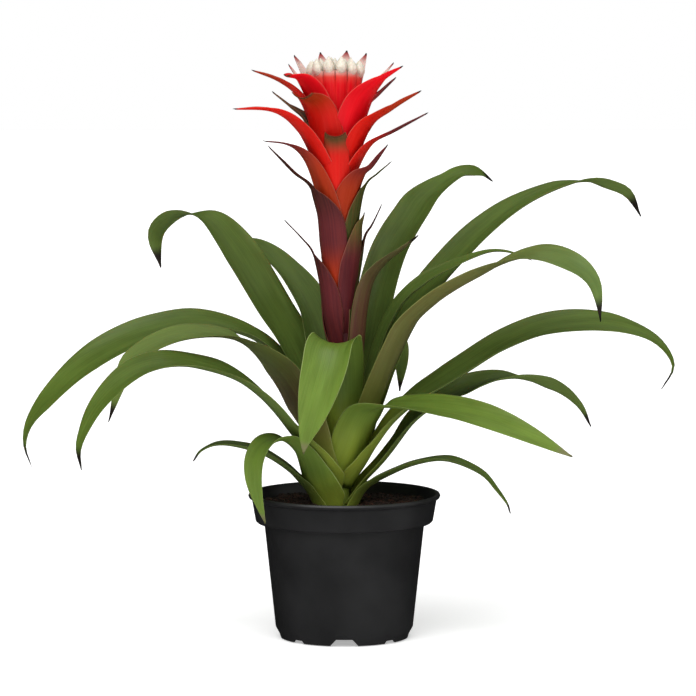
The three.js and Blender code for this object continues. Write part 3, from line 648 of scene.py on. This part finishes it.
leaves = [
    {"heading": 348, "half": 8.5, "sheath": 12, "cup": 38,
     "path": [(18, 91.5), (29, 101.5), (42, 108), (59, 112), (72, 110.5), (87, 104), (96, 95), (103, 86),
              (105, 80)]},
    {"heading": 190, "half": 10, "sheath": 14, "cup": 38,
     "path": [(18.6, 91), (29, 99.5), (41, 109), (53, 116), (69, 121), (81, 122), (90, 118.5), (95, 112)],
     "roll": [(0, 0), (0.5, -6), (1, 0)]},
    {"heading": 88, "half": 11,
     "path": [(17.5, 93), (32, 108), (53, 121), (77, 127), (99, 121), (115, 105), (122, 87)]},
    {"heading": 222, "half": 11, "sheath": 19, "cup": 42, "slot": "leaf_bright", "tones": bright,
     "path": [(18.8, 94), (29, 108), (38, 119.5), (50, 127), (63, 126), (71, 118), (73, 107), (71, 93),
              (65, 77)]},
    {"heading": 5, "half": 12.5, "cup": 36,
     "path": [(17, 96), (24, 106), (33, 120), (44, 135), (58, 146), (85, 158), (107, 161), (132, 155),
              (147, 144), (155, 130)],
     "roll": [(0, 0), (0.25, 0), (0.52, 24), (0.66, 4), (0.8, -32), (1, -28)]},
    {"heading": 98, "half": 14,
     "path": [(17.5, 100), (31, 122), (51, 141), (78, 151), (106, 147), (130, 128), (143, 102)]},
    {"heading": 219, "half": 15, "sheath": 20, "cup": 36,
     "path": [(16.5, 101), (28, 116), (44, 133), (64, 153), (85, 167), (107, 175), (133, 180), (156, 178),
              (174, 170), (189, 158), (198, 146), (203, 134), (201, 121)],
     "roll": [(0, 0), (0.12, -6), (0.25, -20), (0.45, -20), (0.7, -12), (1, 0)]},
    {"heading": 66, "half": 11.5,
     "path": [(18, 106), (30, 132), (46, 160), (63, 176), (80, 177), (89, 164), (87, 145)]},
    {"heading": 350, "half": 16, "sheath": 18, "cup": 36,
     "path": [(17, 108), (22, 120), (31, 135), (46, 149), (61, 159), (78, 170), (100, 184), (124, 194),
              (148, 198), (172, 197), (194, 189), (205, 174), (198, 159)],
     "roll": [(0, 0), (0.35, 22), (0.75, 24), (1, 0)]},
    {"heading": 209, "half": 14.5, "sheath": 16, "cup": 32, "slot": "leaf_olive",
     "tones": ("#9ca742", "#503f2a", "#5a6c30"), "fading": {"Tail From": 0.24, "Tail To": 0.44},
     "path": [(15, 109), (25, 132), (39, 158), (55, 176), (77, 190), (101, 194), (122, 192), (139, 186),
              (149, 179), (155, 166), (163, 144)],
     "roll": [(0, 0), (0.12, 0), (0.24, 22), (0.36, 20), (0.5, -8), (0.64, -14), (0.8, -12), (1, -20)]},
    {"heading": 303, "half": 16, "sheath": 18, "cup": 36, "slot": "leaf_bright", "tones": bright,
     "path": [(14, 112), (17.5, 123), (22, 135), (30, 144), (43, 148, 1), (65, 150, 4), (88, 150, 10),
              (115, 147, 22), (139, 139, 38), (162, 126, 58)],
     "roll": [(0, 0), (0.3, 4), (0.6, 16), (1, 10)]},
    {"heading": 90, "half": 13,
     "path": [(14.2, 114), (23, 138), (33, 162), (44, 182), (62, 195), (86, 198), (112, 189), (136, 168),
              (152, 141)]},
    {"heading": 30, "half": 16,
     "path": [(13, 116), (21.3, 139), (31.5, 166), (45, 192), (64, 216), (85, 236), (106, 252), (132, 267),
              (161, 277), (182, 279), (196, 276), (211, 270), (221, 255)],
     "roll": [(0, 0), (0.5, 6), (0.78, 0), (0.86, -12), (0.93, -36), (1, -50)]},
    {"heading": 177, "half": 17, "cup": 32,
     "path": [(13.2, 117), (20.8, 137), (32, 161), (50, 182), (71, 192), (95, 195), (121, 189), (139, 182),
              (156, 173), (171, 162), (186, 147), (197, 132), (200, 118), (196, 105)],
     "roll": [(0, 0), (0.35, -2), (0.5, -20), (0.7, -34), (0.85, -36), (1, -10)]},
    {"heading": 330, "half": 15, "slot": "leaf_olive",
     "tones": ("#a3ae46", "#6e7038", "#586e33"),
     "path": [(12, 119), (19.3, 140), (27.5, 160), (39, 183), (48, 198), (64, 212), (78, 221), (93, 229),
              (111, 238), (130, 244), (146, 244), (162, 239), (172, 231), (176, 221), (178, 206)],
     "roll": [(0, 0), (0.6, 0), (0.72, 14), (0.85, 38), (1, 30)]},
    {"heading": 148, "half": 18.5,
     "path": [(12.7, 120), (19.8, 140), (30, 164), (41.5, 184), (54, 200), (69, 221), (85, 242), (103, 258),
              (124, 259), (138, 251.5), (142, 242), (138, 225)],
     "roll": [(0, 0), (0.2, 0), (0.4, -8), (0.6, -10), (0.76, 0), (0.86, 14), (0.94, 32), (1, 35)]},
    {"heading": 57, "half": 15, "cup": 36,
     "path": [(12.4, 125), (18, 144), (25, 166), (34.5, 196), (43.5, 218), (54, 235), (65, 246), (80, 258),
              (93, 268), (113, 276), (131, 281), (147, 283), (162, 282), (178, 275)],
     "roll": [(0, 0), (0.82, 0), (0.92, 50), (1, 60)]},
    {"heading": 120, "half": 16,
     "path": [(11.3, 126), (16.2, 146), (25.5, 177), (39.8, 199, 0.5), (60, 217, 1.4), (83, 229, 2),
              (101, 237, 3), (118, 241, 3), (131, 240, 2), (139, 233)],
     "roll": [(0, 0), (0.32, 0), (0.44, 15), (0.6, 12), (1, 0)]},
    {"heading": 10, "half": 11, "cup": 36,
     "path": [(10.1, 128), (14, 145), (22.2, 178), (34, 205), (51, 221), (67, 230), (83, 237), (94, 240),
              (106, 239), (119, 234)],
     "roll": [(0, 0), (0.6, 6), (1, 0)]},
    {"heading": 262, "half": 16, "cup": 44, "slot": "leaf_bright", "tones": bright,
     "path": [(9.12, 129), (12.7, 147), (17.9, 168), (25.5, 182), (34, 187), (41, 184, -3), (46, 174, -5),
              (49, 159, -9), (50, 144, -13), (49, 130, -17), (48, 120, -18.5)]},
    {"heading": 320, "half": 8.5, "cup": 50, "slot": "leaf_olive",
     "tones": ("#682c2c", "#642f2c", "#4e4a2c"),
     "path": [(7.1, 132), (9.3, 148), (11.7, 168), (13.6, 188), (16, 206), (21, 223), (31, 235), (46, 245),
              (59, 254)]},
]


def sheathFeet():
    # each sheath starts a step above every lower sheath that it overlaps
    feet = []
    for leaf in leaves:
        under = [foot for foot, other in zip(feet, leaves)
                 if abs((leaf["heading"] - other["heading"] + 540) % 360 - 180) < 2 * leafForm["sheathCup"]]
        feet.append(max(under) + sheaths["step"] if under else sheaths["lowest"])
    return feet


def leafMesh(leaf, foot, seed):
    def form(share, cone, out):
        # close to the stem it lies on a cone about it; further out it keeps its own hollow and width
        broad = mixed(leaf.get("sheath", leaf["half"]), leaf["half"],
                      smoothStep(out, *leafForm["sheathFades"]))
        wrap = max(min(broad / cone, math.radians(leafForm["sheathCup"])), math.radians(leaf["cup"]))
        cup = mixed(wrap, math.radians(leafForm["tipCup"]), smoothStep(share, leafForm["tipStart"], 1))
        past = max(0, (share - leafForm["tipStart"]) / (1 - leafForm["tipStart"]))
        return max(min(cup * cone, broad) * (1 - past ** leafForm["power"]), leafForm["leastHalf"]), cup

    start = along(stemProfile, foot) + sheaths["clearance"]
    return bladeMesh(leaf["heading"], [(start, foot)] + leaf["path"], leaf["roll"], form,
                     leafMaterials[leaf["slot"]], dict(leafShape, Seed=seed) | leaf["fading"],
                     leaf["tones"], False)


for number, (leaf, foot) in enumerate(zip(leaves, sheathFeet()), 1):
    leaf = usualLeaf | leaf
    addPiece(f"leafBlade{number:02d}", leafMesh(leaf, foot, leafForm["seedStep"] * number), leaf["slot"],
             f"leaf_{number:02d}")
print("leaves ready")

# Spike: a stalk and a head of bracts. A bract is heading, foot, bend height, tip distance out, tip height,
# half width, flatness, shoulder, how broad its tail is, then its tones at the foot, body and tail.
bractTones = {
    "leafy": "#36421a", "olive": "#4c4a22", "maroon": "#572227", "rust": "#9c2c0e", "orange": "#b93810",
    "red": "#d4160f", "crimson": "#e20a1c", "brown": "#5a4a2c", "black": "#1c1613", "petal": "#e6cfc6",
    "wine": "#9a2a30",
}
# the bracts' paler margin colour is a painted highlight along each bract's edge
bractLook = {
    "dark": 0.86, "light": 1.08, "under": "#c93a2c", "underAmount": 0.0, "vein": "#e0604a", "veins": 0.06,
    "edgeHighlight": "#e08a78", "edgeHighlightFrom": 0.955, "edgeHighlightAmount": 0.35,
    "tip": "#1c1512", "tipFrom": 0.955, "tipTo": 0.99, "rough": 0.42,
}
bractTissue = {"Specular IOR Level": 0.14, "IOR": 1.42, "Subsurface Weight": 0.15, "Subsurface Scale": 0.003,
               "Subsurface Radius": (1.0, 0.25, 0.15)}
bractMaterial = tissueMaterial("bractTissue", bractLook, bractTissue)
# blunt bracts dry only to a brown hem, and the hooded ones fade to a pale pink one
bluntMaterial = tissueMaterial("bluntBractTissue", dict(bractLook, tip="#54301c"), bractTissue)
hoodLook = dict(bractLook, tip="#d8a89c", tipFrom=0.88, tipTo=0.99, edgeHighlight="#e0483e", veins=0.12)
hoodMaterial = tissueMaterial("hoodedBractTissue", hoodLook, bractTissue)
bractShape = {"Rings": 48, "Sides": 16, "Half Thickness": 0.4 * mm, "Ripple": 0.0003, "Body From": 0.1,
              "Body To": 0.32}
bractForm = {
    "cup": 76, "tipCup": 52, "cupFades": (0.4, 0.9), "narrowsFrom": 0.15, "power": 3, "tailPower": 0.7,
    "leastHalf": 0.5, "sunk": 0.9, "pushedOver": 12, "latestTail": 0.85, "darkensBefore": 0.24,
    "darkensAfter": 0.06, "clasped": (0.25, 0.6, 1), "bent": ((0.2, 0.65), (0.52, 1)), "seedOver": 7,
}
stalkClasp = {"room": 0.8, "flare": 0.01, "layer": 0.95}
headClasp = {"room": 0.4, "flare": 0.15, "layer": 0}
stalkBracts = [
    (135, 172, 211, 16, 238, 11, 0.75, 0.9, 0.4, "leafy", "maroon", "black"),
    (203, 177, 222, 36.5, 262, 15, 0.71, 0.68, 0.22, "maroon", "maroon", "black"),
    (18, 181, 238, 28.5, 270, 14, 0.6, 0.72, 0.3, "leafy", "leafy", "black"),
    (338, 187, 250, 17.5, 266, 17, 0.67, 0.97, 0.3, "maroon", "maroon", "olive"),
    (75, 192, 235, 20, 264, 12, 0.7, 0.9, 0.4, "leafy", "leafy", "black"),
    (222, 213, 266, 56.5, 309, 18, 0.6, 0.6, 0.3, "rust", "maroon", "black"),
    (345, 216, 274, 35, 298, 13, 0.66, 0.76, 0.45, "olive", "leafy", "leafy"),
    (205, 223, 282, 50, 311, 15.5, 0.9, 0.86, 0.5, "orange", "rust", "maroon"),
    (325, 231, 278, 38.5, 309, 16, 0.55, 0.78, 0.7, "orange", "rust", "maroon"),
]
headBracts = [
    (268, 273.5, 303, 25, 314, 9, 0.8, 1.6, 0.3, "red", "red", "brown"),
    (349, 277, 294, 58, 328, 13, 0.65, 0.65, 0.8, "red", "red", "maroon"),
    (204, 277, 294, 69, 331, 14, 0.94, 0.75, 1, "red", "red", "red"),
    (110, 279, 300, 34, 328, 13, 0.75, 0.8, 0.6, "red", "red", "maroon"),
    (238, 281, 318, 40, 338, 14, 0.85, 1.3, 0.6, "red", "red", "rust"),
    (333, 284, 303, 59, 342, 14, 0.68, 0.75, 1, "red", "red", "rust"),
    (50, 284, 304, 32, 334, 11, 0.75, 0.8, 0.6, "red", "red", "maroon"),
    (165, 286, 309, 41, 340, 12, 0.67, 0.8, 0.6, "red", "brown", "brown"),
    (312, 288, 316, 62, 358, 14, 0.74, 0.8, 0.9, "crimson", "crimson", "crimson"),
    (7, 291, 317, 38, 349, 13, 0.67, 0.8, 0.9, "red", "red", "maroon"),
    (186, 292, 316, 52, 354, 14, 0.8, 0.8, 1, "crimson", "red", "rust"),
    (70, 292, 320, 32, 352, 11, 0.75, 0.8, 0.6, "red", "red", "maroon"),
    (222, 295, 322, 41, 351, 14, 0.9, 1.05, 0.7, "crimson", "crimson", "crimson"),
]
headCore = [(272.35, 10.2), (322, 11.5)]
# what the stalk's bracts clasp: the stalk, and above it the foot of the head
claspedCore = stemProfile[:-1] + [(258, 8.2), (271, 11.6), (285, 12.7), (300, 14.4)]


def bractMesh(bract, bracts, core, clasping):
    # its foot is sunk in the core, it clasps the spike outside every later bract, then bends out to a tip
    heading, foot, bend, tipOut, tipHeight, half, flatness, shoulder, tail, *names = bract
    b = bractForm

    def clasp(height):
        beneath = sum(smoothStep(height, other[1], other[1] + b["pushedOver"])
                      for other in bracts if other[1] > foot)
        return (along(core, height) + clasping["room"] + clasping["flare"] * (height - foot)
                + clasping["layer"] * beneath)

    def form(share, cone, out):
        past = min(max((share - b["narrowsFrom"]) / (shoulder - b["narrowsFrom"]), 0), 1)
        body = 1 - past ** b["power"]
        broad = min(half, cone * math.radians(b["cup"]))
        width = broad * (body + tail * max(1 - share, 0) ** b["tailPower"] * (1 - body))
        wrap = min(half / cone, math.radians(b["cup"]))
        cup = mixed(wrap, math.radians(b["tipCup"]), smoothStep(share, *b["cupFades"]))
        return max(width, b["leastHalf"]), cup

    reach = tipOut - clasp(bend)
    path = [(along(core, foot) - b["sunk"], foot)]
    path += [(clasp(height), height) for height in (mixed(foot, bend, share) for share in b["clasped"])]
    path += [(clasp(bend) + out * reach, mixed(bend, tipHeight, up * flatness)) for out, up in b["bent"]]
    path += [(tipOut, tipHeight)]
    narrow = min(shoulder, b["latestTail"])
    settings = dict(bractShape, **{"Seed": bend / b["seedOver"], "Tail From": narrow - b["darkensBefore"],
                                   "Tail To": narrow + b["darkensAfter"]})
    material = bluntMaterial if shoulder > 1 else bractMaterial
    return bladeMesh(heading, path, flatRoll, form, material, settings,
                     [bractTones[name] for name in names], True)


# the inner bracts stand round the buds: hooded ones with a round tip like a pearl, and pointed ones
hoods = {
    "count": 12, "first": 15, "ring": 15.6, "foot": 316, "top": 350, "half": 5.2, "cup": 52,
    "narrowing": 0.2, "narrowsFrom": 0.4, "route": ((-7, 0), (-2.4, 0.4), (0, 0.8), (0.4, 1)),
    "rim": "#d84c42", "unevenness": 0.8,
}
hoodShape = dict(bractShape, **{"Half Thickness": 0.7 * mm, "Seed": 3.0, "Tail From": 0.75, "Tail To": 0.98})
pearls = {"radius": 3.5, "height": 12, "foot": 346, "ring": 15, "tilt": 5}
pointedBracts = [(187, 29, 357.5, 6), (160, 27, 362.5, 6.5), (117, 20, 364, 6.5), (70, 22, 365, 7),
                 (38, 25, 363.5, 6.5), (356, 36.5, 358.5, 6)]
pointedForm = {"ring": 10, "sunk": 6, "route": ((0, 0), (0.35, 0.4), (0.7, 0.75), (1, 1)),
               "narrowsFrom": 0.6, "power": 2.4, "leastHalf": 0.5, "cup": 48, "seedOver": 9}
pointedShape = dict(bractShape, **{"Body From": 0.55, "Body To": 0.75, "Tail From": 0.85, "Tail To": 0.98})
headLean = {"middle": 2, "swing": 2.5}


def headLift(heading):
    # the head leans back a little, so that its front stands higher
    return headLean["middle"] - headLean["swing"] * math.sin(math.radians(heading))


def hoodMesh(heading):
    ring, foot, top = hoods["ring"], hoods["foot"], hoods["top"] + headLift(heading)
    tall = top - foot

    def form(share, cone, out):
        narrow = 1 - hoods["narrowing"] * smoothStep(share, hoods["narrowsFrom"], 1)
        return hoods["half"] * narrow, math.radians(hoods["cup"])

    path = [(ring + out, foot + up * tall) for out, up in hoods["route"]]
    return bladeMesh(heading, path, flatRoll, form, hoodMaterial, hoodShape,
                     [bractTones["crimson"]] * 2 + [hoods["rim"]], True)


def pointedMesh(heading, tipOut, tipHeight, half):
    p = pointedForm
    foot = headCore[-1][0] - p["sunk"]

    def form(share, cone, out):
        past = max(0, (share - p["narrowsFrom"]) / (1 - p["narrowsFrom"]))
        return max(half * (1 - past ** p["power"]), p["leastHalf"]), math.radians(p["cup"])

    path = [(mixed(p["ring"], tipOut, out), mixed(foot, tipHeight, up)) for out, up in p["route"]]
    settings = dict(pointedShape, Seed=heading / p["seedOver"])
    return bladeMesh(heading, path, flatRoll, form, bractMaterial, settings,
                     [bractTones["crimson"], bractTones["petal"], bractTones["wine"]], True)


# the stalk's skin: satin, green among the leaves and ripening to maroon above them
stemLook = {"green": "#7e9038", "maroon": "#5e2f33", "greenTop": 105, "maroonFrom": 130}
stemMaterial, tree, shader = newMaterial("stemTissue", {"Roughness": 0.5, "IOR": 1.42})
height = addNode(tree, "ShaderNodeSeparateXYZ", None,
                 {0: addNode(tree, "ShaderNodeTexCoord").outputs["Object"]})
ripening = rangeNode(tree, height.outputs["Z"], stemLook["greenTop"] * mm, stemLook["maroonFrom"] * mm)
stemTone = rampOf(tree, ripening, [(0.0, stemLook["green"]), (1.0, stemLook["maroon"])])
fillInputs(tree, shader, {"Base Color": stemTone})
# the head's core: the same skin in the bracts' red, so that no dark gap shows between them
coreMaterial = newMaterial("headTissue", {
    "Base Color": hexColour(bractTones["crimson"]), "Roughness": 0.5, "IOR": 1.42})[0]
coreForm = {"sides": 48, "over": 2}

# buds and the hooded bracts' tips: white, waxy, each of three folded petals
budMaterial, tree, shader = newMaterial("budPetal", {
    "Roughness": 0.45, "IOR": 1.42, "Subsurface Weight": 0.1, "Subsurface Scale": 0.002})
place = addNode(tree, "ShaderNodeTexCoord").outputs["Object"]
streaks = addNode(tree, "ShaderNodeTexNoise", None, {"Vector": place, "Scale": 700.0, "Detail": 3.0})
budTone = rampOf(tree, streaks, [(0.3, "#cdc4b2"), (0.7, "#e6dfd0")])
fillInputs(tree, shader, {"Base Color": budTone})
budForm = {"steps": 20, "sides": 30, "swell": 0.9, "petals": 3, "twist": 0.05, "crease": 0.11, "sharpness": 6}


def eggMesh(look, heading, tilt, ring, lift):
    steps = budForm["steps"]
    profile = []
    for i in range(steps + 1):
        share = i / steps
        radius = look["radius"] * math.sin(math.pi * share ** budForm["swell"]) if 0 < i < steps else 0
        profile.append((radius, look["height"] * share))
    mesh = turnedMesh(profile, budForm["sides"], budMaterial)
    for vertex in mesh.vertices:
        # petals folded over each other, twisted a little towards the tip
        x, y, z = vertex.co / mm
        swirl = math.atan2(y, x) + budForm["twist"] * z
        fold = abs(math.cos(budForm["petals"] / 2 * swirl))
        crease = 1 - budForm["crease"] * fold ** budForm["sharpness"]
        vertex.co = Vector((x * crease, y * crease, z)) * mm
    turn = math.radians(heading)
    place = Matrix.Translation((ring * mm * math.cos(turn), ring * mm * math.sin(turn),
                                (look["foot"] + lift) * mm))
    mesh.transform(place @ Matrix.Rotation(turn, 4, "Z") @ Matrix.Rotation(tilt, 4, "Y"))
    return settle(mesh, True)


def coreMesh(profile, extra, material):
    points = [(0, profile[0][0])] + [(r, z) for z, r in profile] + [(0, profile[-1][0] + extra)]
    return settle(turnedMesh(points, coreForm["sides"], material), True)


def headMesh():
    meshes = [coreMesh(headCore, coreForm["over"], coreMaterial)]
    meshes += [bractMesh(bract, headBracts, headCore, headClasp) for bract in headBracts]
    for i in range(hoods["count"]):
        # sines of the count make each one a little different, as with the buds
        heading = hoods["first"] + 360 * i / hoods["count"]
        lift = headLift(heading) + hoods["unevenness"] * math.sin(5 * i)
        tilt = math.radians(pearls["tilt"] * math.sin(3 * i))
        meshes += [hoodMesh(heading), eggMesh(pearls, heading, tilt, pearls["ring"], lift)]
    return joinMeshes(meshes + [pointedMesh(*bract) for bract in pointedBracts])


stalkMeshes = [bractMesh(bract, stalkBracts, claspedCore, stalkClasp) for bract in stalkBracts]
addPiece("flowerStalk", joinMeshes([coreMesh(stemProfile, 0, stemMaterial)] + stalkMeshes), "bract_maroon",
         "flower_stalk")
addPiece("flowerHead", headMesh(), "bract_red", "flower_head")
print("spike ready")

# Buds: a cluster on the short receptacle that they share
buds = {"height": 14.5, "radius": 3.3, "foot": 347, "rings": [(0, 1), (7, 7)], "lean": 0.03}
receptacle = {"over": 2.5, "stem": 3, "radius": 7, "rises": 4, "top": 5, "sides": 36}


def budMeshes():
    r = receptacle
    base = headCore[-1][0] + r["over"]
    profile = [(0, base), (r["stem"], base), (r["radius"], buds["foot"]),
               (r["radius"], buds["foot"] + r["rises"]), (0, buds["foot"] + r["top"])]
    meshes = [settle(turnedMesh(profile, r["sides"], budMaterial), True)]
    for ring, count in buds["rings"]:
        meshes += [eggMesh(buds, 360 * i / count, buds["lean"] * ring, ring, math.sin(3 * i + ring))
                   for i in range(count)]
    return meshes


addPiece("flowerBuds", joinMeshes(budMeshes()), "bud_white", "flower_buds")
print("buds ready")
